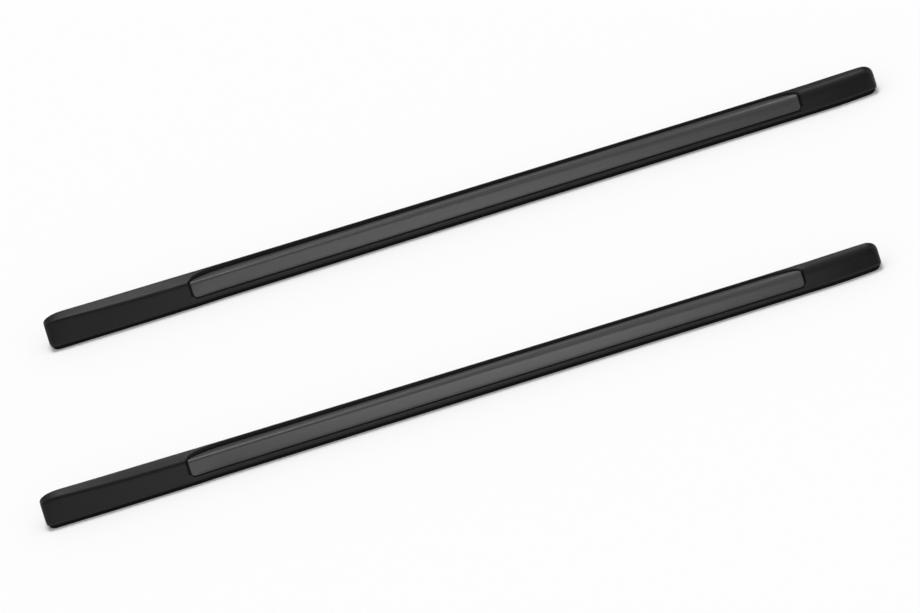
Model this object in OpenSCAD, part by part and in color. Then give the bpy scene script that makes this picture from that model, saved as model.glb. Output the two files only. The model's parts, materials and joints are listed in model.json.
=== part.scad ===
// A pair of roof side rails, lying side by side on their bases as laid out for fitting.
// Each rail runs along X with its front tip at -X. Its lit face looks towards -Y and its base is at Z = 0.
// A section through the rail is written as [y, z] points, worked out for each place x along the rail.

/* [Rail] */
// Length of one rail from tip to tip
rail_length = 1640; // [1500:10:1800]
// Height of the top edge at the front tip
front_height = 57.4; // [55:0.2:62]
// Height of the top edge where the trim strip starts
shoulder_height = 53.6; // [51:0.2:56]
// Height of the top edge where the trim strip ends
waist_height = 44.2; // [43:0.2:47]
// How far the top edge dips below a straight line between those two places
top_sag = 1.05; // [0:0.05:2]
// How much lower the top edge runs beside the trim strip
lip_drop = 1.4; // [0:0.1:2]
// How far the top edge rises again at the rear tip
tail_kick = 1.4; // [0:0.1:3]
// Distance from the rail's centre line to the foot of its front face
base_front = 19.5; // [18.5:0.1:23]
// Distance from the rail's centre line to its back wall
base_back = 20; // [19.5:0.1:24]
// How far the front end section bulges forwards
front_flare = 1.9; // [0:0.1:3]
// How far the rear tip sweeps back at the front face
tail_sweep = 8; // [2:0.5:9]
// Length of that sweep, measured from the rear tip
tail_sweep_length = 120; // [60:5:140]

/* [Cover] */
// Height of the widest line above the base
tuck_height = 12; // [10:0.5:14]
// How far the foot of the front face tucks in under the widest line
tuck = 3; // [1.5:0.1:3.5]
// Height of the crease where the trim strip starts
crease_front_height = 44.8; // [43:0.2:46.4]
// Height of the crease where the trim strip ends
crease_rear_height = 42; // [40.5:0.1:42.2]
// How far the crease climbs towards the front tip
crease_climb = 8; // [4:0.5:9]
// Distance of the crease in front of the centre line
crease_front = 5; // [4:0.2:6]
// How far the crease falls back towards the front tip
crease_retreat = 7; // [5:0.5:8]
// Softness of the crease at the front tip
crease_crisp = 5; // [1:0.2:6]
// Softness of the crease at the rear tip
crease_soft = 13; // [6:0.5:14]
// Softness of the other long edges
edge_soft = 3; // [1:0.2:3.4]
// Wall thickness of the moulding
cover_wall = 2.5; // [2:0.1:2.8]

/* [Tips] */
// Length over which the upper edge rounds off at the front tip
front_tip_top = 40; // [16:1:44]
// Length over which the lower edge rounds off at the front tip
front_tip_bottom = 6; // [4:1:16]
// Size of the front end face as a share of the full section
front_tip_share = 0.64; // [0.5:0.02:0.85]
// Length over which the upper edge rounds off at the rear tip
rear_tip_top = 22; // [10:1:32]
// Length over which the lower edge rounds off at the rear tip
rear_tip_bottom = 5; // [4:1:16]
// Size of the upper half of the rear end face as a share of the full section
rear_tip_share = 0.4; // [0.3:0.02:0.8]
// Size of the lower half of the rear end face as a share of the full section
rear_tip_low_share = 0.68; // [0.5:0.02:0.85]
// Height that the tips round off towards
tip_centre = 24; // [20:1:28]

/* [Trim strip] */
// Distance of the strip's front end from the front tip
strip_start = 288; // [240:2:340]
// Distance of the strip's rear end from the rear tip
strip_end = 150; // [140:2:200]
// Height of the strip's lower edge at its front end
strip_low_front = 19.2; // [18:0.2:22]
// Height of the strip's lower edge at its rear end
strip_low_rear = 17.6; // [17:0.2:20]
// Distance of the strip's upper edge behind the centre line
strip_top = 14.3; // [11:0.1:14.5]
// Backward fall of the strip's top band at its front end, in degrees
top_fall_front = 1.5; // [0:0.1:3]
// Backward fall of the strip's top band at its rear end, in degrees
top_fall_rear = 8; // [4:0.2:9]
// Thickness of the strip
strip_thickness = 2.2; // [1.6:0.1:2.4]
// How far the strip's face lies below the face of the cover
strip_inset = 0.4; // [0.2:0.1:0.8]
// Width of the shadow gap round the strip
shadow_gap = 2.2; // [0.8:0.1:2.4]
// Length of the long sweep at the strip's front upper corner
front_sweep = 72; // [40:2:100]
// Length of the long sweep at the strip's rear upper corner
rear_sweep = 76; // [40:2:100]
// Radius of the strip's lower corners
strip_corner = 6; // [4:0.5:10]
// Width of the strip above the crease at its very ends
strip_nose = 3; // [2:0.2:4]
// Bevel on the strip's edges
strip_bevel = 0.7; // [0.3:0.1:1]
// Thickness of the bonding tape behind the strip
tape_thickness = 0.8; // [0.5:0.1:1]
// Distance of the tape from the strip's edges
tape_margin = 3; // [2:0.5:5]
// Distance of the tape below the softness of the crease
tape_drop = 1.5; // [1:0.5:4]

/* [Base rail] */
// Distance of the base rail's end from the front tip
base_rail_start = 60; // [50:5:90]
// Distance of the base rail's end from the rear tip
base_rail_end = 100; // [96:2:130]
// Width of the base rail
base_rail_width = 23; // [21:0.5:23.5]
// Height of the base rail's underside above the base
base_rail_low = 7; // [6.6:0.2:8]
// Height of the base rail
base_rail_height = 13; // [12:0.5:13.5]
// Wall thickness of the base rail
base_rail_wall = 2.3; // [1.8:0.1:2.6]
// Distance of the base rail's middle behind the centre line
base_rail_offset = 3; // [2.6:0.1:3.2]

/* [Feet] */
// Distance of the front foot from the front tip
foot_start = 150; // [120:5:160]
// Distance of the rear foot from the rear tip
foot_end = 150; // [145:5:200]
// Length of a foot
foot_length = 70; // [62:2:90]
// Radius of a foot's corners
foot_corner = 6; // [4:0.5:9]
// Thickness of the rubber pad under a foot
pad_thickness = 3; // [2.4:0.2:3.2]
// How far a pad stands out round its foot
pad_rim = 0.8; // [0:0.1:1]
// Across-flats size of the captive nut
nut_flats = 13; // [12:0.5:13.5]
// Height of the captive nut
nut_height = 6.5; // [5:0.1:6.8]
// Radius of the captive nut's threaded hole
nut_hole_r = 3.4; // [2.5:0.1:3.8]
// Radius of the clearance hole for the roof bolt
bolt_hole_r = 4.5; // [4:0.1:5]
// Height of the nut's seat above the base
nut_seat = 8; // [7.6:0.1:8.4]
// Distance of the two foot screws from the middle of the foot
screw_offset = 24; // [18:1:26]
// Radius of a foot screw
screw_r = 2.4; // [2:0.1:2.8]
// Radius of a foot screw's head
screw_head_r = 4.3; // [3.8:0.1:5]
// Height of a foot screw's head
screw_head_height = 2.6; // [2:0.1:3]

/* [Clips] */
// Number of spring clips between one foot and the next
clips_per_bay = 3; // [1:1:5]
// Width of a spring clip along the rail
clip_width = 14; // [10:1:20]
// Thickness of the clip's spring steel
clip_thickness = 1.2; // [0.8:0.1:1.5]
// Height of a clip's arms
clip_height = 9; // [6:0.5:10]
// Radius of a clip rivet
rivet_r = 2; // [1.5:0.1:2.4]
// Radius of a clip rivet's heads
rivet_head_r = 3.4; // [2.8:0.1:3.8]
// Height of a clip rivet's heads
rivet_head_height = 1; // [0.8:0.1:1.4]

/* [Edge seal] */
// Height of the rubber seal under the cover
seal_height = 8; // [6:0.2:9]
// Thickness of the rubber seal
seal_width = 2.6; // [2:0.1:2.8]
// How far the seal stands back from the cover's lower edge
seal_inset = 0.9; // [0.4:0.1:1]
// Distance of the seal's ends from the cover's tips
seal_end = 4.5; // [4:0.5:8]
// Length over which the seal's underside rounds up at its ends
seal_round = 14; // [4:1:20]

/* [Fits] */
// Clearance between parts that slide into one another
slide_gap = 0.3; // [0.15:0.05:0.3]
// Clearance left for the adhesive on each side of the tape
bond_gap = 0.1; // [0.05:0.01:0.12]
// Radial clearance round screws, rivets and nuts
hole_gap = 0.15; // [0.08:0.01:0.2]

/* [Pair] */
// Distance between the two rails' centre lines
rail_spacing = 603; // [200:1:1200]
// How far the left rail lies ahead of the right one
rail_stagger = 98; // [0:2:300]

/* [Hidden] */

black_plastic = "#26272a";
graphite = "#55565a";
rubber_black = "#17181a";
raw_aluminium = "#a9adb1";
cast_grey = "#74787c";
zinc_plate = "#b9bcbf";
tape_grey = "#8b8b8b";

round_fn = 48;
crease_steps = 6;
edge_steps = 4;
tip_steps = 6;
sweep_steps = 7;
corner_steps = 4;
body_steps = 10;
end_steps = 6;
small_step = 1.2;
recess_bevel = 1.6;
recess_run = 3;
cavity_draft = 1;
tip_lead = 4;
flare_rise = 160;
flare_hold = 18;
flare_fall = 85;
soften_power = 2.2;
kick_level = 20;
rim_share = 0.7;
wall_lean = 1.2;
corner_share = 0.45;
crease_share = 0.97;
nose_growth = 9;
nose_run = 40;
sliver = 0.01;
// Lengths by which cutters run past a face and joined pieces run into one another
cut_over = 1;
join_over = 0.5;
pad_hole_rim = 1;

solid_front = front_tip_top + tip_lead;
solid_rear = rear_tip_top + 2 * tip_lead;
strip_x0 = strip_start;
strip_x1 = rail_length - strip_end;
strip_span = strip_x1 - strip_x0;
recess_depth = strip_inset + strip_thickness + tape_thickness + 2 * bond_gap;
web_top = base_rail_low + base_rail_height;
web_under = web_top - base_rail_wall;
foot_pitch = (rail_length - foot_start - foot_end) / 2;
foot_x = [for (i = [0:2]) foot_start + i * foot_pitch];
base_rail_x1 = rail_length - base_rail_end;
clip_x = [for (i = [0:2 * clips_per_bay - 1]) foot_start + foot_pitch * (i + 0.5) / clips_per_bay];
foot_width = 2 * (base_back - seal_inset - seal_width - slide_gap - pad_rim - base_rail_offset);

// Small helpers for curves and vectors
function limit(v) = min(1, max(0, v));
function mix(a, b, t) = a + (b - a) * t;
function ease(t) = let (c = limit(t)) c * c * (3 - 2 * c);
function quarter(t) = let (c = limit(t)) sqrt(1 - (1 - c) * (1 - c));
function unit(v) = v / norm(v);
function left_of(v) = [-v[1], v[0]];
function bend(a, b, c, t) = (1 - t) * (1 - t) * a + 2 * t * (1 - t) * b + t * t * c;
// Points that round the corner at b between a and c, starting reach away from it
function round_corner(a, b, c, reach, steps) =
    let (d = min(reach, corner_share * norm(a - b), corner_share * norm(c - b)))
    [for (i = [0:steps]) bend(b + d * unit(a - b), b, b + d * unit(c - b), i / steps)];

// The long lines of the rail as functions of the place along it
function along_strip(x) = limit((x - strip_x0) / strip_span);
function nose_share(x) = limit((strip_x0 - x) / strip_x0);
function tail_share(x) = limit((x - (rail_length - tail_sweep_length)) / tail_sweep_length);
function flare(x) = front_flare * ease(x / flare_rise) * (1 - ease((x - strip_x0 + flare_hold) / flare_fall));
function swept(x) = tail_sweep * pow(tail_share(x), 2);
function kick(x) = tail_kick * ease((x - strip_x1) / (strip_end - kick_level));
function foot_line(x) = base_front + flare(x) - swept(x);
function top_line(x) =
    x < strip_x0 ? mix(shoulder_height, front_height, nose_share(x))
    : mix(shoulder_height, waist_height, along_strip(x)) - 4 * top_sag * along_strip(x) * (1 - along_strip(x))
      - lip_drop * ease((x - strip_x0) / front_sweep) * ease((strip_x1 - x) / rear_sweep)
      + kick(x);
function crease_height(x) =
    mix(crease_front_height, crease_rear_height, along_strip(x))
    + crease_climb * pow(nose_share(x), 2) + kick(x) / 2;
function crease_y(x) = -crease_front + crease_retreat * pow(nose_share(x), 2) + swept(x) / 2;
function crease_reach(x) = mix(crease_crisp, crease_soft, pow(along_strip(x), soften_power));

function wide(x) = [-(foot_line(x) + tuck), tuck_height];
function crease(x) = [crease_y(x), crease_height(x)];
function ridge(x) = [base_back, top_line(x)];
function face_point(x, z) = mix(wide(x), crease(x), (z - tuck_height) / (crease_height(x) - tuck_height));
function top_point(x, y) = mix(crease(x), ridge(x), (y - crease_y(x)) / (base_back - crease_y(x)));
function sill(x) = [-(foot_line(x) + tuck * seal_height / tuck_height), seal_height];

// The outline of the trim strip: its lower and its upper edge
function corner_lift(x) =
    strip_corner * (2 - quarter((x - strip_x0) / strip_corner) - quarter((strip_x1 - x) / strip_corner));
function low_edge(x) = mix(strip_low_front, strip_low_rear, along_strip(x)) + corner_lift(x);
function top_share(x) = quarter((x - strip_x0) / front_sweep) * quarter((strip_x1 - x) / rear_sweep);
// Beyond the strip's ends the same line marks where the cover's soft crease has run out
function nose(x) = strip_nose + nose_growth * ease(past_recess(x) / nose_run);
function top_edge(x) = mix(crease_y(x) + nose(x), strip_top, top_share(x));
function top_fall(x) = mix(top_fall_front, top_fall_rear, along_strip(x));
function band_point(x, y) = [y, crease_height(x) - (y - crease_y(x)) * tan(top_fall(x))];

// The strip's face line, moved inwards by depth: lower edge, crease and upper edge
function face_normal(x) = unit(left_of(crease(x) - wide(x)));
function band_normal(x) = [sin(top_fall(x)), cos(top_fall(x))];
function mitre(x) = (face_normal(x) + band_normal(x)) / (1 + face_normal(x) * band_normal(x));
function strip_line(x, depth, margin) = [
    face_point(x, low_edge(x) + margin) - depth * face_normal(x),
    crease(x) - depth * mitre(x),
    band_point(x, top_edge(x) - margin) - depth * band_normal(x)
];

// A creased line from low over corner to top. A place on it is given by its distance w from the corner,
// less than nothing on the lower side, and reach is the softness of the crease
function creased(low, corner, top, reach, w) =
    w <= -reach ? corner - w * unit(low - corner)
    : w >= reach ? corner + w * unit(top - corner)
    : bend(
        corner + reach * unit(low - corner),
        corner,
        corner + reach * unit(top - corner),
        (w + reach) / 2 / reach);
function crease_places(x, w_low, w_top) =
    let (from = -min(crease_reach(x), -crease_share * w_low))
    let (to = min(crease_reach(x), crease_share * w_top))
    concat([w_low], [for (i = [0:crease_steps]) mix(from, to, i / crease_steps)], [w_top]);
function creased_run(x, line, places) =
    [for (w = places) creased(line[0], line[1], line[2], crease_reach(x), w)];

// The outside of the cover, from the foot of the front face over the top to the foot of the back wall
function past_recess(x) = max(strip_x0 - x, x - strip_x1) - shadow_gap - recess_run;
function sunk(x) = limit(-past_recess(x) / recess_run);
function low_place(x, drop) = -norm(face_point(x, low_edge(x) - drop) - crease(x));
function top_place(x, y) = norm(top_point(x, y) - crease(x));
function bed_run(x) =
    let (line = strip_line(x, recess_depth, -shadow_gap))
    creased_run(x, line, crease_places(x, -norm(line[0] - line[1]), norm(line[2] - line[1])));
function skin_run(x) =
    creased_run(x, [wide(x), crease(x), ridge(x)],
        crease_places(x, low_place(x, shadow_gap - recess_bevel / 2), top_place(x, top_edge(x))));
function face_run(x) =
    let (skin = skin_run(x))
    let (bed = bed_run(x))
    [for (i = [0:len(skin) - 1]) mix(skin[i], bed[i], sunk(x))];
function rim_low(x) = face_point(x, low_edge(x) - shadow_gap - recess_bevel / 2);
function rim_top(x) =
    let (y = min(top_edge(x) + shadow_gap + recess_bevel, base_back - edge_soft * rim_share))
    creased(wide(x), crease(x), ridge(x), crease_reach(x), top_place(x, y));
function outside(x) = concat(
    [sill(x)],
    round_corner(sill(x), wide(x), rim_low(x), edge_soft, edge_steps),
    [rim_low(x)],
    face_run(x),
    [rim_top(x)],
    round_corner(rim_top(x), ridge(x), [base_back, seal_height], edge_soft, edge_steps),
    [[base_back, seal_height]]
);

// The inside of the cover: flat across the base at the solid tips, raised to a roof in between
function hollow(x) = limit(min(x - solid_front, rail_length - solid_rear - x) / small_step);
function roof_height(x) = band_point(x, strip_top)[1] - recess_depth - cover_wall;
function inner_sill(x) = [-(foot_line(x) - cover_wall), seal_height];
function inner_face(x) =
    let (z = roof_height(x))
    [face_point(x, z)[0] + (recess_depth + cover_wall) * wall_lean, z];
function inside(x) =
    let (back = base_back - cover_wall)
    let (flat = [
        [back, seal_height],
        [back / 2, seal_height],
        [inner_sill(x)[0] / 2, seal_height],
        inner_sill(x)])
    let (raised = [
        [back, seal_height],
        [back - cavity_draft, roof_height(x)],
        inner_face(x),
        inner_sill(x)])
    [for (i = [0:3]) mix(flat[i], raised[i], hollow(x))];
// Place of the front inner wall at height z
function inner_wall_y(x, z) =
    mix(inner_sill(x), inner_face(x), (z - seal_height) / (roof_height(x) - seal_height))[0];

// Rounding of the tips: each point is drawn towards the middle of the section
function shrink(x, z) =
    let (up = limit(z / tip_centre / 2))
    let (front = mix(
        mix(front_tip_share, 1, quarter(x / front_tip_bottom)),
        mix(front_tip_share, 1, quarter(x / front_tip_top)), up))
    let (rear = mix(
        mix(rear_tip_low_share, 1, quarter((rail_length - x) / rear_tip_bottom)),
        mix(rear_tip_share, 1, quarter((rail_length - x) / rear_tip_top)), up))
    front * rear;
function tipped(x, p) = let (s = shrink(x, p[1])) [p[0] * s, tip_centre + (p[1] - tip_centre) * s];
function cover_ring(x) = [for (p = concat(outside(x), inside(x))) let (q = tipped(x, p)) [x, q[0], q[1]]];

// Places of the rings along the rail, close together where the outline turns
function spread(a, b, steps) = [for (i = [1:steps]) mix(a, b, i / steps)];
function closing_in(a, b, steps) = [for (i = [1:steps]) mix(a, b, 1 - cos(90 * i / steps))];
function opening_out(a, b, steps) = [for (i = [1:steps]) mix(a, b, sin(90 * i / steps))];
strip_xs = concat(
    [strip_x0],
    closing_in(strip_x0, strip_x0 + strip_corner, corner_steps),
    closing_in(strip_x0 + strip_corner, strip_x0 + front_sweep, sweep_steps),
    spread(strip_x0 + front_sweep, strip_x1 - rear_sweep, body_steps),
    opening_out(strip_x1 - rear_sweep, strip_x1 - strip_corner, sweep_steps),
    opening_out(strip_x1 - strip_corner, strip_x1, corner_steps)
);
cover_xs = concat(
    [0],
    closing_in(0, front_tip_top, tip_steps),
    [solid_front, solid_front + small_step],
    spread(solid_front + small_step, strip_x0 - shadow_gap - recess_run, end_steps),
    [strip_x0 - shadow_gap],
    strip_xs,
    [strip_x1 + shadow_gap],
    [strip_x1 + shadow_gap + recess_run],
    spread(strip_x1 + shadow_gap + recess_run, rail_length - solid_rear - small_step, end_steps),
    [rail_length - solid_rear],
    opening_out(rail_length - rear_tip_top - tip_lead, rail_length, tip_steps + 1)
);

// A closed skin through rings that all have the same number of points
module skin_through(rings, paired_caps) {
    n = len(rings[0]);
    m = len(rings);
    half = n / 2;
    last = (m - 1) * n;
    middle = [for (r = [rings[0], rings[m - 1]]) [r[0][0], 0, tip_centre]];
    sides = [
        for (i = [0:m - 2])
            for (j = [0:n - 1])
                let (a = i * n + j, b = i * n + (j + 1) % n)
                each [[a, b, b + n], [a, b + n, a + n]]
    ];
    fans = [for (j = [0:n - 1]) each [[m * n, (j + 1) % n, j], [m * n + 1, last + j, last + (j + 1) % n]]];
    ladders = [
        for (j = [0:half - 2])
            let (p = n - 1 - j)
            each [
                [j, p, j + 1],
                [j + 1, p, p - 1],
                [last + j, last + j + 1, last + p],
                [last + j + 1, last + p - 1, last + p]]
    ];
    points = paired_caps ? [for (r = rings) each r] : concat([for (r = rings) each r], middle);
    polyhedron(points, concat(sides, paired_caps ? ladders : fans), convexity = 10);
}

module cover() {
    color(black_plastic) skin_through([for (x = cover_xs) cover_ring(x)], false);
}

// The trim strip is one creased band with bevelled edges
function strip_path(x, depth, sink) =
    let (edge = strip_line(x, depth + sink, 0))
    let (face = strip_line(x, depth, sink))
    let (w_low = -norm(face[0] - face[1]))
    let (w_top = norm(face[2] - face[1]))
    let (run = creased_run(x, face, crease_places(x, w_low, w_top)))
    concat([creased_run(x, edge, [w_low - sink])[0]], run, [creased_run(x, edge, [w_top + sink])[0]]);
function back_to_front(list) = [for (i = [len(list) - 1:-1:0]) list[i]];
function strip_ring(x, place, sink) =
    let (face = strip_path(place, strip_inset + (sink ? strip_bevel : 0), sink ? sliver : strip_bevel))
    let (back = strip_path(place, strip_inset + strip_thickness, sliver))
    [for (p = concat(face, back_to_front(back))) [x, p[0], p[1]]];

module trim_strip() {
    n = len(strip_xs);
    color(graphite)
    skin_through(
        concat(
            [strip_ring(strip_x0, strip_x0, true)],
            [for (i = [1:n - 2]) strip_ring(strip_xs[i], strip_xs[i], false)],
            [strip_ring(strip_x1, strip_x1, true)]),
        true);
}

// The tape lies flat behind the strip's front face, below the crease
function tape_ring(x) =
    let (low = face_point(x, low_edge(x) + tape_margin))
    let (high = face_point(x, crease_height(x) - crease_reach(x) - tape_drop))
    let (outer = strip_inset + strip_thickness + bond_gap)
    let (inner = outer + tape_thickness)
    let (pushed = [[low, outer], [high, outer], [high, inner], [low, inner]])
    [for (q = pushed) let (p = q[0] - q[1] * face_normal(x)) [x, p[0], p[1]]];

module bonding_tape() {
    reach = strip_corner + tape_margin;
    xs = concat(
        [strip_x0 + reach],
        [for (x = strip_xs) if (x > strip_x0 + reach && x < strip_x1 - reach) x],
        [strip_x1 - reach]);
    color(tape_grey) skin_through([for (x = xs) tape_ring(x)], true);
}

// The seal is a closed loop that follows the cover's lower edge
module seal_outline(inset) {
    x0 = seal_end + inset;
    x1 = rail_length - seal_end - inset;
    xs = concat([x0], [for (x = cover_xs) if (x > x0 + 1 && x < x1 - 1) x], [x1]);
    front = [for (x = xs) [x, tipped(x, [sill(x)[0] + seal_inset + inset, seal_height])[0]]];
    back = [for (x = xs) [x, tipped(x, [base_back - seal_inset - inset, seal_height])[0]]];
    polygon(concat(front, back_to_front(back)));
}

// The seal from the side: its underside rounds up towards both ends
module seal_side() {
    angles = [for (i = [0:edge_steps]) 90 * i / edge_steps];
    ends = [for (a = angles) [seal_end + seal_round * (1 - sin(a)), seal_height * (1 - cos(a))]];
    polygon(concat(ends, [for (p = back_to_front(ends)) [rail_length - p[0], p[1]]]));
}

module edge_seal() {
    color(rubber_black)
    intersection() {
        linear_extrude(seal_height)
        difference() {
            seal_outline(0);
            seal_outline(seal_width);
        }
        translate([0, base_back, 0])
        rotate([90, 0, 0])
        linear_extrude(base_back + base_front + front_flare + tuck)
        seal_side();
    }
}

// Lays a [y, z] outline along the rail from x0 to x1
module along_rail(x0, x1) {
    translate([x0, 0, 0])
    rotate([90, 0, 90])
    linear_extrude(x1 - x0)
    children();
}

module upright(x, r, z0, z1) {
    translate([x, base_rail_offset, z0])
    cylinder(r = r, h = z1 - z0, $fn = round_fn);
}

module through_web(x, r) {
    upright(x, r, web_under - cut_over, web_top + cut_over);
}

module base_rail() {
    y0 = base_rail_offset - base_rail_width / 2;
    y1 = base_rail_offset + base_rail_width / 2;
    color(raw_aluminium)
    difference() {
        along_rail(base_rail_start, base_rail_x1)
        polygon([
            [y0, base_rail_low],
            [y0, web_top],
            [y1, web_top],
            [y1, base_rail_low],
            [y1 - base_rail_wall, base_rail_low],
            [y1 - base_rail_wall, web_under],
            [y0 + base_rail_wall, web_under],
            [y0 + base_rail_wall, base_rail_low]
        ]);
        for (x = foot_x) {
            for (side = [-1, 1]) {
                through_web(x + side * screw_offset, screw_r + hole_gap);
            }
        }
        for (x = clip_x) {
            through_web(x, rivet_r + hole_gap);
        }
    }
}

module hexagon(flats) {
    circle(r = flats / sqrt(3), $fn = 6);
}

// A cast foot fills the base rail and carries the captive nut
module foot(x) {
    body_width = base_rail_width - 2 * base_rail_wall - 2 * slide_gap;
    flange_top = base_rail_low - slide_gap;
    body_top = web_under - slide_gap;
    color(cast_grey)
    difference() {
        union() {
            translate([x - foot_length / 2, base_rail_offset - body_width / 2, pad_thickness])
            cube([foot_length, body_width, body_top - pad_thickness]);
            translate([x, base_rail_offset, pad_thickness])
            linear_extrude(flange_top - pad_thickness)
            foot_plan(foot_length, foot_width);
        }
        upright(x, bolt_hole_r, pad_thickness - cut_over, nut_seat + cut_over);
        translate([x, base_rail_offset, nut_seat])
        linear_extrude(body_top)
        hexagon(nut_flats + 2 * hole_gap);
        for (side = [-1, 1]) {
            upright(x + side * screw_offset, screw_r + hole_gap, nut_seat - cut_over, body_top + cut_over);
        }
    }
}

module foot_plan(length, width) {
    for (side = [-1, 1]) {
        translate([side * (length / 2 - foot_corner), 0])
        square([2 * foot_corner, width - 2 * foot_corner], center = true);
        for (end = [-1, 1]) {
            translate([side * (length / 2 - foot_corner), end * (width / 2 - foot_corner)])
            circle(r = foot_corner, $fn = round_fn);
        }
    }
    square([length - 2 * foot_corner, width], center = true);
}

module pad(x) {
    color(rubber_black)
    difference() {
        translate([x, base_rail_offset, 0])
        linear_extrude(pad_thickness)
        foot_plan(foot_length + 2 * pad_rim, foot_width + 2 * pad_rim);
        upright(x, bolt_hole_r + pad_hole_rim, -cut_over, pad_thickness + cut_over);
    }
}

module captive_nuts() {
    color(zinc_plate)
    for (x = foot_x) {
        difference() {
            translate([x, base_rail_offset, nut_seat])
            linear_extrude(nut_height)
            hexagon(nut_flats);
            upright(x, nut_hole_r, nut_seat - cut_over, nut_seat + nut_height + cut_over);
        }
    }
}

module foot_screws() {
    color(zinc_plate)
    for (x = foot_x) {
        for (side = [-1, 1]) {
            upright(x + side * screw_offset, screw_r, nut_seat, web_top + join_over);
            upright(x + side * screw_offset, screw_head_r, web_top, web_top + screw_head_height);
        }
    }
}

// Each clip sits on the base rail and its two arms press on the cover's inner walls
module spring_clips() {
    top = web_top + clip_height;
    color(zinc_plate)
    for (x = clip_x) {
        f0 = inner_wall_y(x, web_top) + slide_gap;
        f1 = inner_wall_y(x, top) + slide_gap;
        b1 = base_back - cover_wall - cavity_draft - slide_gap;
        difference() {
            along_rail(x - clip_width / 2, x + clip_width / 2)
            polygon([
                [f0, web_top],
                [f1, top],
                [f1 + clip_thickness, top],
                [f0 + clip_thickness, web_top + clip_thickness],
                [b1 - clip_thickness, web_top + clip_thickness],
                [b1 - clip_thickness, top],
                [b1, top],
                [b1, web_top]
            ]);
            upright(x, rivet_r + hole_gap, web_top - cut_over, web_top + clip_thickness + cut_over);
        }
    }
}

module clip_rivets() {
    seat = web_top + clip_thickness;
    color(raw_aluminium)
    for (x = clip_x) {
        upright(x, rivet_r, web_under - join_over, seat + join_over);
        upright(x, rivet_head_r, seat, seat + rivet_head_height);
        upright(x, rivet_head_r, web_under - rivet_head_height, web_under);
    }
}

// The origin is the middle of the pair's footprint
reach_front = max([for (x = cover_xs) for (p = cover_ring(x)) -p[1]]);
left_x = -(rail_length + rail_stagger) / 2;
middle_y = (reach_front - base_back) / 2;

module lay_left() {
    translate([left_x, middle_y - rail_spacing / 2, 0]) children();
}

module lay_right() {
    translate([left_x + rail_stagger, middle_y + rail_spacing / 2, 0]) children();
}

lay_left() cover();  // left_cover
lay_left() trim_strip();  // left_trim_strip
lay_left() bonding_tape();  // left_bonding_tape
lay_left() edge_seal();  // left_edge_seal
lay_left() base_rail();  // left_base_rail
lay_left() foot(foot_x[0]);  // left_front_foot
lay_left() foot(foot_x[1]);  // left_middle_foot
lay_left() foot(foot_x[2]);  // left_rear_foot
lay_left() pad(foot_x[0]);  // left_front_pad
lay_left() pad(foot_x[1]);  // left_middle_pad
lay_left() pad(foot_x[2]);  // left_rear_pad
lay_left() captive_nuts();  // left_captive_nuts
lay_left() foot_screws();  // left_foot_screws
lay_left() spring_clips();  // left_spring_clips
lay_left() clip_rivets();  // left_clip_rivets
lay_right() cover();  // right_cover
lay_right() trim_strip();  // right_trim_strip
lay_right() bonding_tape();  // right_bonding_tape
lay_right() edge_seal();  // right_edge_seal
lay_right() base_rail();  // right_base_rail
lay_right() foot(foot_x[0]);  // right_front_foot
lay_right() foot(foot_x[1]);  // right_middle_foot
lay_right() foot(foot_x[2]);  // right_rear_foot
lay_right() pad(foot_x[0]);  // right_front_pad
lay_right() pad(foot_x[1]);  // right_middle_pad
lay_right() pad(foot_x[2]);  // right_rear_pad
lay_right() captive_nuts();  // right_captive_nuts
lay_right() foot_screws();  // right_foot_screws
lay_right() spring_clips();  // right_spring_clips
lay_right() clip_rivets();  // right_clip_rivets
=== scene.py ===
"""Roof side rail pair: smooth mouldings, finishes, floor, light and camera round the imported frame.

The frame gives every size and place. Each class below takes one sub-assembly of a rail, shapes its
visible pieces with Blender's own tools, and dresses them in the finish of the real material.
"""

import json
import logging
import math
from dataclasses import dataclass
from enum import Enum
from typing import Callable, Iterable, Optional

import bpy
from mathutils import Euler, Matrix, Vector

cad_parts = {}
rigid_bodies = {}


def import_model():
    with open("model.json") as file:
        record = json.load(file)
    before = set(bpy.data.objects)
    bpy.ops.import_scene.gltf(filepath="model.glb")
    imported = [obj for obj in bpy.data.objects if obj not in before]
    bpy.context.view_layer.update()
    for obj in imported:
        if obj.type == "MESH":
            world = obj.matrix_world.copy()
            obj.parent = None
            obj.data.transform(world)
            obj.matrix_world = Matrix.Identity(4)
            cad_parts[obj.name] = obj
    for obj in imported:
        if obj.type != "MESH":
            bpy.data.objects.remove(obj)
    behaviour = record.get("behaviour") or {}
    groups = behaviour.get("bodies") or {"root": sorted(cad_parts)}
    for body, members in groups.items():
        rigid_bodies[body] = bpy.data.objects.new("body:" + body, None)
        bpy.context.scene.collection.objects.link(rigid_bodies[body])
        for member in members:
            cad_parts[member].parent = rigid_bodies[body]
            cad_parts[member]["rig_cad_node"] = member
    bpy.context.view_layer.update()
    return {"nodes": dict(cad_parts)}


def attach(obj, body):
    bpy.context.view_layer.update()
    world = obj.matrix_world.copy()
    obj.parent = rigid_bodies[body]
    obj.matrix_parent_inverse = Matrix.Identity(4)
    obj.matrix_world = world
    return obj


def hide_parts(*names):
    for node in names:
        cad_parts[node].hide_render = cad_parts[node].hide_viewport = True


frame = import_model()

LOG = logging.getLogger("side_rails")
MM = 0.001


class Side(Enum):
    """The two rails of the pair, named as the vehicle's sides."""

    LEFT = "left"
    RIGHT = "right"


class Ray(Enum):
    """The kinds of ray that see the pale backdrop itself and not only its light."""

    CAMERA = "Is Camera Ray"
    GLOSSY = "Is Glossy Ray"
    TRANSMISSION = "Is Transmission Ray"


# Node trees

# Places of the sockets that share a name on a Mix node, for colours and for plain numbers.
COLOUR_A, COLOUR_B, COLOUR_OUT = 6, 7, 2
NUMBER_A, NUMBER_B, NUMBER_OUT = 2, 3, 0


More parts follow.
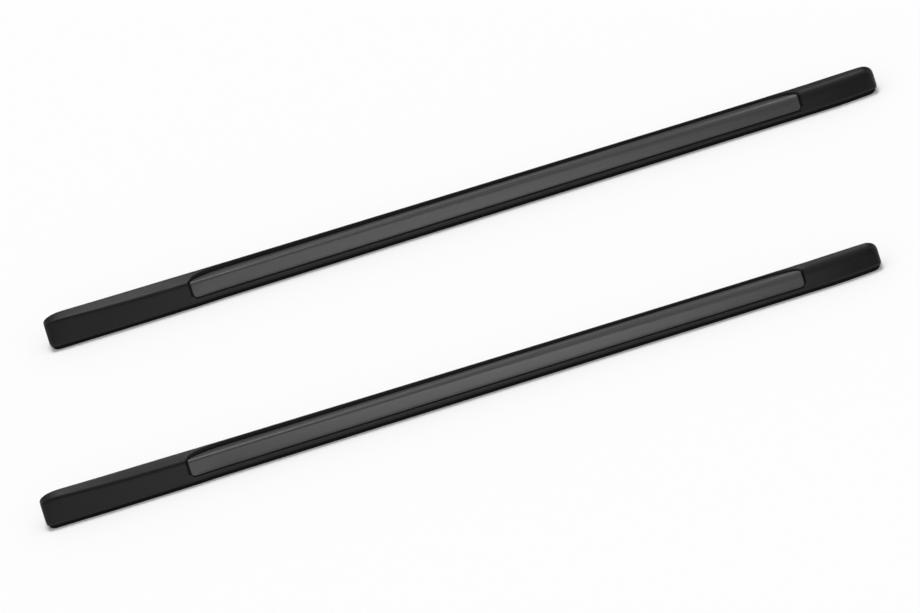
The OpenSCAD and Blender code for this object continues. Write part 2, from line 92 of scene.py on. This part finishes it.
def linear(hex_colour: str) -> tuple[float, float, float, float]:
    """Turn an sRGB hex colour into linear light.

    Args:
        hex_colour: Six hex digits after a hash sign.

    Returns:
        Red, green, blue and full alpha.
    """
    values = [int(hex_colour[i : i + 2], 16) / 255 for i in (1, 3, 5)]
    light = [v / 12.92 if v <= 0.04045 else ((v + 0.055) / 1.055) ** 2.4 for v in values]
    return (light[0], light[1], light[2], 1.0)


def per_metre(size_mm: float) -> float:
    """Give a texture scale whose features are about size_mm across."""
    return 1.0 / (size_mm * MM)


def blank_material(name: str) -> bpy.types.Material:
    """Make a material whose node tree is still empty.

    Args:
        name: The material's name.

    Returns:
        The new material.
    """
    material = bpy.data.materials.new(name)
    material.use_nodes = True
    material.node_tree.nodes.clear()
    return material


def add_node(
    tree: bpy.types.NodeTree,
    kind: str,
    settings: Optional[dict[str, object]] = None,
    values: Optional[dict[str | int, object]] = None,
    links: Optional[dict[str | int, bpy.types.NodeSocket]] = None,
) -> bpy.types.Node:
    """Add one node with its settings, socket values and links.

    Args:
        tree: The node tree that takes the node.
        kind: Blender's name of the node type.
        settings: The node's own properties.
        values: Values of input sockets, by socket name, or by place where sockets share a name.
        links: Output sockets to join to input sockets, by the input's name or place.

    Returns:
        The new node.
    """
    node = tree.nodes.new(kind)
    for name, value in (settings or {}).items():
        setattr(node, name, value)
    for name, value in (values or {}).items():
        node.inputs[name].default_value = value
    for name, source in (links or {}).items():
        tree.links.new(source, node.inputs[name])
    return node


# Finishes

# Detail and roughness of the noise that mottles the colour and of the noise that makes the grain.
PATCH_NOISE = (3.0, 0.55)
GRAIN_NOISE = (2.0, 0.6)
# The span within which nearly all of the grain's values lie.
GRAIN_LOW, GRAIN_HIGH = 0.3, 0.7
# How open a place is where it starts to count as closed in, and where it is wholly so, for the
# painted shade and dullness in recesses.
OPEN_SHARE, CLOSED_SHARE = 0.75, 0.35
OPENNESS_SAMPLES = 8


@dataclass(frozen=True)
class Finish:
    """A surface as a maker would name it, with a mottled colour, roughness and fine relief.

    Where it is closed in, the surface goes dull, and painted shade darkens its colour towards the
    recess colour, if it has one.
    """

    name: str
    slot: str
    colour: str
    shade: str
    roughness: float
    roughness_swing: float = 0.04
    metallic: float = 0.0
    specular: float = 0.5
    ior: float = 1.5
    patch_mm: float = 90.0
    grain_mm: float = 3.0
    relief_mm: float = 0.02
    stretch: tuple[float, float, float] = (1.0, 1.0, 1.0)
    # Colour of the painted shade in recesses; none leaves the colour alone there.
    recess_painted_shade: Optional[str] = None
    cavity_mm: float = 6.0
    cavity_roughness: float = 0.85

    def dull_and_shade(
        self, tree: bpy.types.NodeTree, tint: bpy.types.NodeSocket, rough: bpy.types.NodeSocket
    ) -> tuple[bpy.types.NodeSocket, bpy.types.NodeSocket]:
        """Dull the surface where it is closed in, and darken its colour there with painted shade.

        Args:
            tree: The material's node tree.
            tint: The colour of the open surface.
            rough: The roughness of the open surface.

        Returns:
            The colour and the roughness of the whole surface.
        """
        opening = add_node(
            tree,
            "ShaderNodeAmbientOcclusion",
            settings={"samples": OPENNESS_SAMPLES},
            values={"Distance": self.cavity_mm * MM},
        ).outputs["AO"]
        depth = add_node(
            tree,
            "ShaderNodeMapRange",
            values={"From Min": OPEN_SHARE, "From Max": CLOSED_SHARE, "To Min": 0.0, "To Max": 1.0},
            links={"Value": opening},
        ).outputs["Result"]
        # Painted shade: the colour darkens where the surface is closed in.
        shaded_tint = add_node(
            tree,
            "ShaderNodeMix",
            settings={"data_type": "RGBA"},
            values={COLOUR_B: linear(self.recess_painted_shade)},
            links={"Factor": depth, COLOUR_A: tint},
        )
        coarse = add_node(
            tree,
            "ShaderNodeMix",
            settings={"data_type": "FLOAT"},
            values={NUMBER_B: self.cavity_roughness},
            links={"Factor": depth, NUMBER_A: rough},
        )
        return shaded_tint.outputs[COLOUR_OUT], coarse.outputs[NUMBER_OUT]

    def build(self) -> bpy.types.Material:
        """Make the material.

        Returns:
            A node material with a Principled surface.
        """
        material = blank_material(self.name)
        tree = material.node_tree
        place = add_node(tree, "ShaderNodeTexCoord").outputs["Object"]
        turned = add_node(
            tree, "ShaderNodeMapping", values={"Scale": self.stretch}, links={"Vector": place}
        ).outputs["Vector"]
        patches, grain = (
            add_node(
                tree,
                "ShaderNodeTexNoise",
                values={"Scale": per_metre(size_mm), "Detail": noise[0], "Roughness": noise[1]},
                links={"Vector": turned},
            ).outputs["Fac"]
            for size_mm, noise in ((self.patch_mm, PATCH_NOISE), (self.grain_mm, GRAIN_NOISE))
        )
        tint = add_node(
            tree,
            "ShaderNodeMix",
            settings={"data_type": "RGBA"},
            values={COLOUR_A: linear(self.shade), COLOUR_B: linear(self.colour)},
            links={"Factor": patches},
        ).outputs[COLOUR_OUT]
        rough = add_node(
            tree,
            "ShaderNodeMapRange",
            values={
                "From Min": GRAIN_LOW,
                "From Max": GRAIN_HIGH,
                "To Min": self.roughness - self.roughness_swing,
                "To Max": self.roughness + self.roughness_swing,
            },
            links={"Value": grain},
        ).outputs["Result"]
        # Painted shade and dullness where the surface is closed in.
        if self.recess_painted_shade:
            tint, rough = self.dull_and_shade(tree, tint, rough)
        relief = add_node(
            tree,
            "ShaderNodeBump",
            values={"Strength": 1.0, "Distance": self.relief_mm * MM},
            links={"Height": grain},
        ).outputs["Normal"]
        surface = add_node(
            tree,
            "ShaderNodeBsdfPrincipled",
            values={
                "Metallic": self.metallic,
                "IOR": self.ior,
                "Specular IOR Level": self.specular,
            },
            links={"Base Color": tint, "Roughness": rough, "Normal": relief},
        )
        add_node(tree, "ShaderNodeOutputMaterial", links={"Surface": surface.outputs["BSDF"]})
        return material


# Acrylonitrile plastic moulded against a finely etched tool: a deep black with a broad dull sheen,
# duller in the sunk recess, where the surface faces itself, and painted darker there as shade.
MOULDED_BLACK = Finish(
    name="moulded_black_abs",
    slot="black_plastic",
    colour="#191919",
    shade="#161616",
    roughness=0.38,
    roughness_swing=0.03,
    specular=0.27,
    patch_mm=120.0,
    grain_mm=5.0,
    relief_mm=0.03,
    # Painted shade for the sunk recess.
    recess_painted_shade="#0b0b0b",
)
# Sprayed satin lacquer over a smooth strip: an even mid grey that takes a long soft highlight.
SATIN_GRAPHITE = Finish(
    name="satin_graphite_lacquer",
    slot="graphite_trim",
    colour="#404040",
    shade="#3c3c3c",
    roughness=0.34,
    roughness_swing=0.03,
    specular=0.55,
    patch_mm=160.0,
    grain_mm=4.0,
    relief_mm=0.012,
)
# Moulded weather-strip rubber: nearly no sheen.
SEAL_RUBBER = Finish(
    name="seal_rubber",
    slot="rubber",
    colour="#111213",
    shade="#0e0f10",
    roughness=0.78,
    roughness_swing=0.06,
    specular=0.1,
    patch_mm=60.0,
    grain_mm=2.5,
    relief_mm=0.04,
)
# Extruded aluminium as it leaves the die: faint lines run along the length.
EXTRUDED_ALUMINIUM = Finish(
    name="extruded_aluminium",
    slot="aluminium",
    colour="#c4c7ca",
    shade="#b2b5b9",
    roughness=0.34,
    roughness_swing=0.08,
    metallic=1.0,
    patch_mm=80.0,
    grain_mm=1.6,
    relief_mm=0.01,
    stretch=(0.02, 1.0, 1.0),
)
# Die-cast aluminium, shot-blasted: a grey even pebble.
BLASTED_CASTING = Finish(
    name="blasted_casting",
    slot="cast_foot",
    colour="#8d9195",
    shade="#7b7f84",
    roughness=0.58,
    roughness_swing=0.08,
    metallic=1.0,
    patch_mm=30.0,
    grain_mm=0.9,
    relief_mm=0.05,
)
# Bright zinc on pressed and turned steel: pale, with a slight cloudiness.
BRIGHT_ZINC = Finish(
    name="bright_zinc_plate",
    slot="zinc_steel",
    colour="#c8cbd0",
    shade="#aeb2b8",
    roughness=0.3,
    roughness_swing=0.08,
    metallic=1.0,
    patch_mm=14.0,
    grain_mm=1.0,
    relief_mm=0.008,
)
# Closed-cell acrylic foam tape: matt mid grey with open cells at the cut edge.
FOAM_TAPE = Finish(
    name="acrylic_foam_tape",
    slot="tape",
    colour="#7d7d7d",
    shade="#6c6c6c",
    roughness=0.85,
    roughness_swing=0.05,
    specular=0.2,
    patch_mm=20.0,
    grain_mm=0.8,
    relief_mm=0.08,
)


# Modelling helpers

# Vertices nearer than this are one, and flat faces that fold less than this are one.
MERGE_MM = 0.004
FLAT_DEG = 1.0
# Two triangles become a quad when they fold and skew less than this.
QUAD_FOLD_DEG, QUAD_SKEW_DEG = 25.0, 60.0
# A vertex this near to the end's plane belongs to the flat end.
END_PLANE_MM = 0.02
# An edge that folds more than this is broken by a tool or a mould, and how many faces round it.
BROKEN_FOLD_DEG, BROKEN_FACES = 35.0, 2
# A broken edge shades smooth below this fold.
SMOOTH_FOLD_DEG = 40.0


def deselect_everything() -> None:
    """Leave object mode clean, because operators act on all that is selected."""
    if bpy.context.object and bpy.context.object.mode != "OBJECT":
        bpy.ops.object.mode_set(mode="OBJECT")
    bpy.ops.object.select_all(action="DESELECT")


def pick(piece: bpy.types.Object) -> None:
    """Select one object alone and make it active.

    Args:
        piece: The object.
    """
    deselect_everything()
    piece.select_set(True)
    bpy.context.view_layer.objects.active = piece


def apply_modifier(piece: bpy.types.Object, kind: str, **settings: object) -> None:
    """Add a modifier with its settings and apply it.

    Args:
        piece: The mesh object.
        kind: Blender's name of the modifier type.
        settings: The modifier's properties.
    """
    pick(piece)
    modifier = piece.modifiers.new(kind.lower(), kind)
    for name, value in settings.items():
        setattr(modifier, name, value)
    bpy.ops.object.modifier_apply(modifier=modifier.name)


def merged_copy(node: str, name: str) -> bpy.types.Object:
    """Copy the mesh of a CAD node and merge its loose triangles into one skin.

    Args:
        node: The CAD node that holds the form.
        name: The name of the new piece.

    Returns:
        The new object, selected and active.
    """
    deselect_everything()
    piece = bpy.data.objects.new(name, frame["nodes"][node].data.copy())
    piece.data.name = name
    piece.data.materials.clear()
    bpy.context.scene.collection.objects.link(piece)
    pick(piece)
    bpy.ops.object.mode_set(mode="EDIT")
    bpy.ops.mesh.select_all(action="SELECT")
    bpy.ops.mesh.customdata_custom_splitnormals_clear()
    bpy.ops.mesh.remove_doubles(threshold=MERGE_MM * MM)
    bpy.ops.object.mode_set(mode="OBJECT")
    return piece


def flat_faced_copy(node: str, name: str) -> bpy.types.Object:
    """Copy a CAD node as merged_copy does, with each of its flat faces made one face.

    Args:
        node: The CAD node that holds the form.
        name: The name of the new piece.

    Returns:
        The new object, selected and active.
    """
    piece = merged_copy(node, name)
    bpy.ops.object.mode_set(mode="EDIT")
    bpy.ops.mesh.select_all(action="SELECT")
    bpy.ops.mesh.dissolve_limited(angle_limit=math.radians(FLAT_DEG))
    bpy.ops.object.mode_set(mode="OBJECT")
    return piece


def choose(
    piece: bpy.types.Object, kind: str, wanted: Callable[[bpy.types.bpy_struct], bool]
) -> None:
    """Select the vertices, edges or faces of a piece by their place or normal, and open edit mode.

    Args:
        piece: The mesh object.
        kind: VERT, EDGE or FACE.
        wanted: Tells of one vertex, edge or face whether it is selected.
    """
    pick(piece)
    bpy.ops.object.mode_set(mode="EDIT")
    bpy.ops.mesh.select_mode(type=kind)
    bpy.ops.mesh.select_all(action="DESELECT")
    bpy.ops.object.mode_set(mode="OBJECT")
    mesh = piece.data
    for part in {"VERT": mesh.vertices, "EDGE": mesh.edges, "FACE": mesh.polygons}[kind]:
        part.select = wanted(part)
    bpy.ops.object.mode_set(mode="EDIT")


def end_places(mesh: bpy.types.Mesh) -> tuple[float, float]:
    """Give the lowest and highest x of a mesh."""
    return (min(v.co.x for v in mesh.vertices), max(v.co.x for v in mesh.vertices))


def smooth_copy(
    node: str, name: str, fold_deg: float, levels: int, cap_edge_mm: float = 0.0
) -> bpy.types.Object:
    """Turn the solid of a moulding into a smooth skin of the same form.

    The copy is merged, its triangles are joined to quads, its true folds are creased and the
    rest is subdivided, so broad faces and rounded tips flow while the folds stay crisp.

    Args:
        node: The CAD node that holds the form.
        name: The name of the new piece.
        fold_deg: Edges that fold more than this stay crisp.
        levels: How often the skin is subdivided.
        cap_edge_mm: Width of the rounding round the flat ends, where they have one.

    Returns:
        The new object.
    """
    piece = merged_copy(node, name)
    mesh = piece.data
    ends = end_places(mesh)

    def at_end(corners: Iterable[int]) -> bool:
        """Tell whether all these vertices lie in the plane of an end."""
        reach = END_PLANE_MM * MM
        return any(all(abs(mesh.vertices[i].co.x - end) < reach for i in corners) for end in ends)

    if cap_edge_mm:
        choose(piece, "FACE", lambda face: at_end(face.vertices))
        bpy.ops.mesh.dissolve_faces()
        bpy.ops.mesh.inset(thickness=cap_edge_mm * MM)
    bpy.ops.object.mode_set(mode="EDIT")
    bpy.ops.mesh.select_all(action="SELECT")
    bpy.ops.mesh.tris_convert_to_quads(
        face_threshold=math.radians(QUAD_FOLD_DEG), shape_threshold=math.radians(QUAD_SKEW_DEG)
    )
    bpy.ops.mesh.select_mode(type="EDGE")
    bpy.ops.mesh.select_all(action="DESELECT")
    bpy.ops.mesh.edges_select_sharp(sharpness=math.radians(fold_deg))
    bpy.ops.object.mode_set(mode="OBJECT")
    if cap_edge_mm:
        for edge in mesh.edges:
            edge.select = edge.select and not at_end(edge.vertices)
    bpy.ops.object.mode_set(mode="EDIT")
    bpy.ops.transform.edge_crease(value=1.0)
    bpy.ops.mesh.select_all(action="DESELECT")
    bpy.ops.object.mode_set(mode="OBJECT")
    apply_modifier(
        piece, "SUBSURF", levels=levels, render_levels=levels, use_limit_surface=False
    )
    pick(piece)
    bpy.ops.object.shade_smooth_by_angle(angle=math.radians(fold_deg))
    return piece


def eased_copy(node: str, name: str, width_mm: float) -> bpy.types.Object:
    """Copy a solid with its edges broken, as a tool or a mould leaves them.

    Args:
        node: The CAD node that holds the form.
        name: The name of the new piece.
        width_mm: Width of the broken edge.

    Returns:
        The new object.
    """
    piece = flat_faced_copy(node, name)
    apply_modifier(
        piece,
        "BEVEL",
        width=width_mm * MM,
        segments=BROKEN_FACES,
        limit_method="ANGLE",
        angle_limit=math.radians(BROKEN_FOLD_DEG),
        use_clamp_overlap=True,
        miter_outer="MITER_ARC",
    )
    pick(piece)
    bpy.ops.object.shade_smooth_by_angle(angle=math.radians(SMOOTH_FOLD_DEG))
    return piece


def dress(piece: bpy.types.Object, material: bpy.types.Material) -> None:
    """Give a piece its one material.

    Args:
        piece: A new piece or a CAD node's object.
        material: The finish's material.
    """
    piece.data.materials.clear()
    piece.data.materials.append(material)


class Workshop:
    """Holds the finished materials, made once each, and records each piece in the log."""

    def __init__(self) -> None:
        """Start with no material made."""
        self.made: dict[str, bpy.types.Material] = {}

    def material(self, finish: Finish) -> bpy.types.Material:
        """Give the material of a finish, building it the first time.

        Args:
            finish: The finish.

        Returns:
            Its material.
        """
        if finish.name not in self.made:
            self.made[finish.name] = finish.build()
        return self.made[finish.name]

    def keep(self, node: str, finish: Finish) -> None:
        """Dress a CAD node whose shape is right as it is.

        Args:
            node: The node's name.
            finish: What it is made of.
        """
        dress(frame["nodes"][node], self.material(finish))
        LOG.info("%s kept, in %s", node, finish.name)

    def fit(self, piece: bpy.types.Object, node: str, finish: Finish) -> None:
        """Put a new piece in the place of a CAD node and dress it.

        Args:
            piece: The new piece.
            node: The node that it stands for.
            finish: What it is made of.
        """
        dress(piece, self.material(finish))
        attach(piece, "root")
        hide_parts(node)
        faces = len(piece.data.polygons)
        LOG.info("%s in place of %s, %d faces, in %s", piece.name, node, faces, finish.name)


@dataclass
class Moulding:
    """The black cover and its rubber edge seal."""

    side: Side
    fold_deg: float = 32.0
    levels: int = 2
    cap_edge_mm: float = 0.7
    lip_mm: float = 0.5
    foot_zone_mm: float = 0.3
    top_zone_mm: float = 0.05
    row_reach_mm: float = 0.1
    tip_rises_mm: tuple[tuple[float, float], ...] = ((0.0, 0.85), (2.6, 0.38))

    def seal(self) -> bpy.types.Object:
        """Shape the seal, with its top run up against the cover's rising edge at the tips.

        Its foot is rounded. Each tip rise is a distance from the end and a height.

        Returns:
            The new object.
        """
        piece = flat_faced_copy(f"{self.side.value}_edge_seal", f"{self.side.value}_seal_lip")
        mesh = piece.data
        top = max(v.co.z for v in mesh.vertices)
        ends = end_places(mesh)
        foot = self.foot_zone_mm * MM
        choose(
            piece, "EDGE", lambda edge: all(mesh.vertices[i].co.z < foot for i in edge.vertices)
        )
        bpy.ops.mesh.bevel(offset=self.lip_mm * MM, segments=BROKEN_FACES, affect="EDGES")
        for place_mm, rise_mm in self.tip_rises_mm:

            def in_row(vertex: bpy.types.MeshVertex) -> bool:
                """Tell whether a top vertex lies this far from an end."""
                off = [abs(abs(vertex.co.x - end) - place_mm * MM) for end in ends]
                is_top = vertex.co.z > top - self.top_zone_mm * MM
                return is_top and min(off) < self.row_reach_mm * MM

            choose(piece, "VERT", in_row)
            bpy.ops.transform.translate(value=(0.0, 0.0, rise_mm * MM))
            bpy.ops.object.mode_set(mode="OBJECT")
        pick(piece)
        bpy.ops.object.shade_smooth_by_angle(angle=math.radians(SMOOTH_FOLD_DEG))
        return piece

    def build(self, shop: Workshop) -> None:
        """Make both pieces.

        Args:
            shop: Where they are dressed.
        """
        node = f"{self.side.value}_cover"
        cover = smooth_copy(
            node, f"{node}_moulding", self.fold_deg, self.levels, self.cap_edge_mm
        )
        shop.fit(cover, node, MOULDED_BLACK)
        shop.fit(self.seal(), f"{self.side.value}_edge_seal", SEAL_RUBBER)


@dataclass
class Trim:
    """The graphite strip in the cover's recess and the tape behind it."""

    side: Side
    fold_deg: float = 32.0
    levels: int = 2

    def build(self, shop: Workshop) -> None:
        """Make the strip and dress the tape.

        Args:
            shop: Where they are dressed.
        """
        node = f"{self.side.value}_trim_strip"
        strip = smooth_copy(node, f"{self.side.value}_trim_skin", self.fold_deg, self.levels)
        shop.fit(strip, node, SATIN_GRAPHITE)
        shop.keep(f"{self.side.value}_bonding_tape", FOAM_TAPE)


@dataclass
class Underframe:
    """The base rail, feet, pads and fasteners inside the cover."""

    side: Side
    feet: tuple[str, ...] = ("front", "middle", "rear")
    extrusion_edge_mm: float = 0.3
    casting_edge_mm: float = 0.9
    rubber_edge_mm: float = 0.7
    sheet_edge_mm: float = 0.25

    def ease(self, shop: Workshop, part: str, edge_mm: float, finish: Finish) -> None:
        """Make one piece with broken edges.

        Args:
            shop: Where it is dressed.
            part: The node's name without its side.
            edge_mm: Width of the broken edge.
            finish: What the piece is made of.
        """
        node = f"{self.side.value}_{part}"
        shop.fit(eased_copy(node, f"{node}_eased", edge_mm), node, finish)

    def build(self, shop: Workshop) -> None:
        """Make and dress every piece under the cover.

        Args:
            shop: Where they are dressed.
        """
        self.ease(shop, "base_rail", self.extrusion_edge_mm, EXTRUDED_ALUMINIUM)
        for foot in self.feet:
            self.ease(shop, f"{foot}_foot", self.casting_edge_mm, BLASTED_CASTING)
            self.ease(shop, f"{foot}_pad", self.rubber_edge_mm, SEAL_RUBBER)
        self.ease(shop, "captive_nuts", self.extrusion_edge_mm, BRIGHT_ZINC)
        self.ease(shop, "foot_screws", self.extrusion_edge_mm, BRIGHT_ZINC)
        self.ease(shop, "spring_clips", self.sheet_edge_mm, BRIGHT_ZINC)
        self.ease(shop, "clip_rivets", self.sheet_edge_mm, EXTRUDED_ALUMINIUM)


def up_at(tilt_deg: float) -> Vector:
    """Give the direction at an angle from straight up, towards the front when it is positive."""
    tilt = math.radians(tilt_deg)
    return Vector((0.0, -math.sin(tilt), math.cos(tilt)))


def facing_down(back: Vector) -> Euler:
    """Give the turn of a lamp or cloth whose back points this way."""
    return back.to_track_quat("Z", "Y").to_euler()


@dataclass(frozen=True)
class Softbox:
    """A rectangular lamp hung over the pair, at a tilt from straight up.

    One that is only mirrored adds a highlight and leaves the floor's even light alone.
    """

    name: str
    tilt_deg: float
    distance_m: float
    length_m: float
    width_m: float
    radiance: float
    shift_m: float = 0.0
    only_mirrored: bool = True

    def hang(self) -> None:
        """Hang the lamp level along the rails, facing the floor's middle line."""
        back = up_at(self.tilt_deg)
        place = back * self.distance_m + Vector((self.shift_m, 0.0, 0.0))
        deselect_everything()
        bpy.ops.object.light_add(type="AREA", location=place)
        lamp = bpy.context.object
        lamp.name = lamp.data.name = self.name
        lamp.data.shape = "RECTANGLE"
        lamp.data.size = self.length_m
        lamp.data.size_y = self.width_m
        lamp.data.energy = self.radiance * math.pi * self.length_m * self.width_m
        lamp.rotation_euler = facing_down(back)
        lamp.visible_camera = False
        lamp.visible_diffuse = not self.only_mirrored
        LOG.info("%s hung %.1f m away", self.name, self.distance_m)


@dataclass(frozen=True)
class Flag:
    """A black cloth hung between two tilts, which rounded edges mirror as a dark band."""

    name: str
    from_deg: float
    to_deg: float
    distance_m: float
    length_m: float
    shift_m: float = 0.0

    def hang(self, cloth: bpy.types.Material) -> None:
        """Hang the cloth where only mirrored rays find it, so it takes no light from the rails.

        Args:
            cloth: The cloth's material.
        """
        back = up_at((self.from_deg + self.to_deg) / 2)
        half = math.radians(self.to_deg - self.from_deg) / 2
        place = back * self.distance_m + Vector((self.shift_m, 0.0, 0.0))
        deselect_everything()
        bpy.ops.mesh.primitive_plane_add(size=1.0, location=place)
        flag = bpy.context.object
        flag.name = self.name
        flag.rotation_euler = facing_down(back)
        flag.scale = (self.length_m, 2 * self.distance_m * math.tan(half), 1.0)
        bpy.ops.object.transform_apply(location=True, rotation=True, scale=True)
        flag.data.materials.append(cloth)
        flag.visible_camera = False
        flag.visible_diffuse = False
        flag.visible_shadow = False
        LOG.info("%s hung", self.name)


@dataclass
class Studio:
    """The pale floor, the soft lamps and the camera.

    The even key and the room light the floor and the rails alike. The softboxes and flags are
    what the glossy faces mirror: the top softboxes show in the top face of the rails' two ends,
    the front ones in the strip, and the flags keep the creases and the black fronts dark.
    """

    picture_width_px: int = 920
    scale_px_per_mm: float = 0.53132
    distance_m: float = 52.0
    sight_limit_m: float = 208.0
    azimuth_deg: float = 0.133
    elevation_deg: float = 32.0
    roll_deg: float = -17.41
    aim: tuple[float, float, float] = (-0.00800, -0.02880, 0.02)
    sensor_mm: float = 36.0
    floor_m: float = 60.0
    floor_colour: str = "#f4f4f4"
    floor_glow: float = 0.07
    cloth_colour: str = "#050505"
    room_light: float = 0.50
    key_tilt_deg: float = -25.0
    key_spread_deg: float = 24.0
    key_strength: float = 1.78
    softboxes: tuple[Softbox, ...] = (
        Softbox("left_top_softbox", -22.0, 1.8, 0.6, 0.55, 7.2, shift_m=-0.64),
        Softbox("right_top_softbox", -37.0, 1.8, 0.5, 0.55, 4.6, shift_m=0.86),
        Softbox("front_softbox", 63.0, 2.6, 1.8, 0.8, 0.85, shift_m=-1.35),
        Softbox("middle_softbox", 62.0, 2.5, 0.9, 0.7, 4.5, shift_m=0.04),
        Softbox("underside_softbox", -145.0, 3.0, 4.0, 2.4, 1.6, only_mirrored=False),
        Softbox("right_side_softbox", 72.0, 1.3, 1.6, 1.0, 8.0, shift_m=3.5),
        Softbox("left_side_softbox", 72.0, 1.6, 1.2, 1.0, 2.0, shift_m=-2.6),
    )
    flags: tuple[Flag, ...] = (
        Flag("rear_flag", -53.0, -17.0, 3.6, 6.0),
        Flag("right_rear_flag", -80.0, -50.0, 3.7, 3.0, shift_m=1.9),
        Flag("left_flag", -6.0, 44.0, 3.5, 3.2, shift_m=-1.75),
        Flag("right_flag", -6.0, 44.0, 3.5, 2.4, shift_m=2.0),
        Flag("front_flag", 44.0, 80.0, 3.4, 6.0),
    )

    def backdrop_rays(self, tree: bpy.types.NodeTree) -> bpy.types.NodeSocket:
        """Give 1 for rays that see the pale backdrop itself and 0 for those that carry its light.

        Args:
            tree: The node tree that needs it.

        Returns:
            The output socket of the last node.
        """
        path = add_node(tree, "ShaderNodeLightPath")
        seen = path.outputs[Ray.CAMERA.value]
        for ray in (Ray.GLOSSY, Ray.TRANSMISSION):
            seen = add_node(
                tree,
                "ShaderNodeMath",
                settings={"operation": "MAXIMUM"},
                links={0: seen, 1: path.outputs[ray.value]},
            ).outputs[0]
        return seen

    def cloth(self) -> bpy.types.Material:
        """Make the flags' dull black cloth.

        Returns:
            Its material.
        """
        material = blank_material("black_cloth")
        tree = material.node_tree
        dull = add_node(
            tree, "ShaderNodeBsdfDiffuse", values={"Color": linear(self.cloth_colour)}
        ).outputs["BSDF"]
        add_node(tree, "ShaderNodeOutputMaterial", links={"Surface": dull})
        return material

    def paper(self) -> bpy.types.Material:
        """Make the floor's pale paper, clear from below and glowing a little where it is seen.

        Returns:
            Its material.
        """
        material = blank_material("pale_paper")
        tree = material.node_tree
        share = add_node(
            tree,
            "ShaderNodeMapRange",
            values={"To Min": 0.0, "To Max": self.floor_glow},
            links={"Value": self.backdrop_rays(tree)},
        ).outputs["Result"]
        matt = add_node(
            tree, "ShaderNodeBsdfDiffuse", values={"Color": linear(self.floor_colour)}
        ).outputs["BSDF"]
        glow = add_node(tree, "ShaderNodeEmission", links={"Strength": share}).outputs["Emission"]
        lit = add_node(tree, "ShaderNodeAddShader", links={0: matt, 1: glow}).outputs[0]
        back = add_node(tree, "ShaderNodeNewGeometry").outputs["Backfacing"]
        clear = add_node(tree, "ShaderNodeBsdfTransparent").outputs["BSDF"]
        both = add_node(tree, "ShaderNodeMixShader", links={"Fac": back, 1: lit, 2: clear})
        add_node(tree, "ShaderNodeOutputMaterial", links={"Surface": both.outputs[0]})
        return material

    def lay_floor(self) -> None:
        """Lay a pale floor that keeps the rails' soft shadow.

        It lets a view and the room's light through from below, so that the underside is seen too.
        """
        deselect_everything()
        bpy.ops.mesh.primitive_plane_add(size=self.floor_m, location=(0.0, 0.0, 0.0))
        floor = bpy.context.object
        floor.name = "studio_floor"
        floor.data.materials.append(self.paper())
        floor.visible_diffuse = False
        floor.visible_shadow = False
        LOG.info("floor laid")

    def light_room(self) -> None:
        """Fill with an even pale light and show white behind."""
        world = bpy.data.worlds.new("pale_room")
        bpy.context.scene.world = world
        world.use_nodes = True
        tree = world.node_tree
        tree.nodes.clear()
        strength = add_node(
            tree,
            "ShaderNodeMapRange",
            values={"To Min": self.room_light, "To Max": 1.0},
            links={"Value": self.backdrop_rays(tree)},
        ).outputs["Result"]
        sky = add_node(
            tree,
            "ShaderNodeBackground",
            values={"Color": (1.0, 1.0, 1.0, 1.0)},
            links={"Strength": strength},
        )
        add_node(tree, "ShaderNodeOutputWorld", links={"Surface": sky.outputs[0]})

    def hang_key(self) -> None:
        """Light floor and rails evenly, with soft edges to the shadows and no mirrored spot."""
        back = up_at(self.key_tilt_deg)
        deselect_everything()
        bpy.ops.object.light_add(type="SUN", location=back)
        key = bpy.context.object
        key.name = key.data.name = "even_key"
        key.data.energy = self.key_strength
        key.data.angle = math.radians(self.key_spread_deg)
        key.rotation_euler = facing_down(back)
        key.visible_glossy = False
        LOG.info("key hung")

    def set_camera(self) -> None:
        """Set the camera at the picture's viewing angle, far off with a long lens."""
        angles = (self.azimuth_deg, self.elevation_deg, self.roll_deg)
        az, el, roll = (math.radians(angle) for angle in angles)
        back = Vector((math.sin(az) * math.cos(el), -math.cos(az) * math.cos(el), math.sin(el)))
        level = Vector((0.0, 0.0, 1.0)).cross(back).normalized()
        upright = back.cross(level)
        across = level * math.cos(roll) + upright * math.sin(roll)
        up = upright * math.cos(roll) - level * math.sin(roll)
        deselect_everything()
        bpy.ops.object.camera_add()
        camera = bpy.context.object
        camera.name = camera.data.name = "picture_camera"
        camera.data.sensor_width = self.sensor_mm
        picture_width_m = self.picture_width_px / self.scale_px_per_mm * MM
        camera.data.lens = self.sensor_mm * self.distance_m / picture_width_m
        camera.data.clip_end = self.sight_limit_m
        turn = Matrix((across, up, back)).transposed().to_4x4()
        place = Vector(self.aim) + back * self.distance_m
        camera.matrix_world = Matrix.Translation(place) @ turn
        bpy.context.scene.camera = camera
        LOG.info("camera set with a %.0f mm lens", camera.data.lens)

    def build(self) -> None:
        """Set up floor, light and camera."""
        bpy.context.scene.view_settings.view_transform = "Standard"
        self.set_camera()
        self.lay_floor()
        self.light_room()
        self.hang_key()
        for softbox in self.softboxes:
            softbox.hang()
        cloth = self.cloth()
        for flag in self.flags:
            flag.hang(cloth)


def main() -> None:
    """Build both rails and the studio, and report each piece."""
    logging.basicConfig(level=logging.INFO, format="%(name)s: %(message)s")
    Studio().build()
    shop = Workshop()
    for side in Side:
        for assembly in (Moulding(side), Trim(side), Underframe(side)):
            assembly.build(shop)


if __name__ == "__main__":
    main()
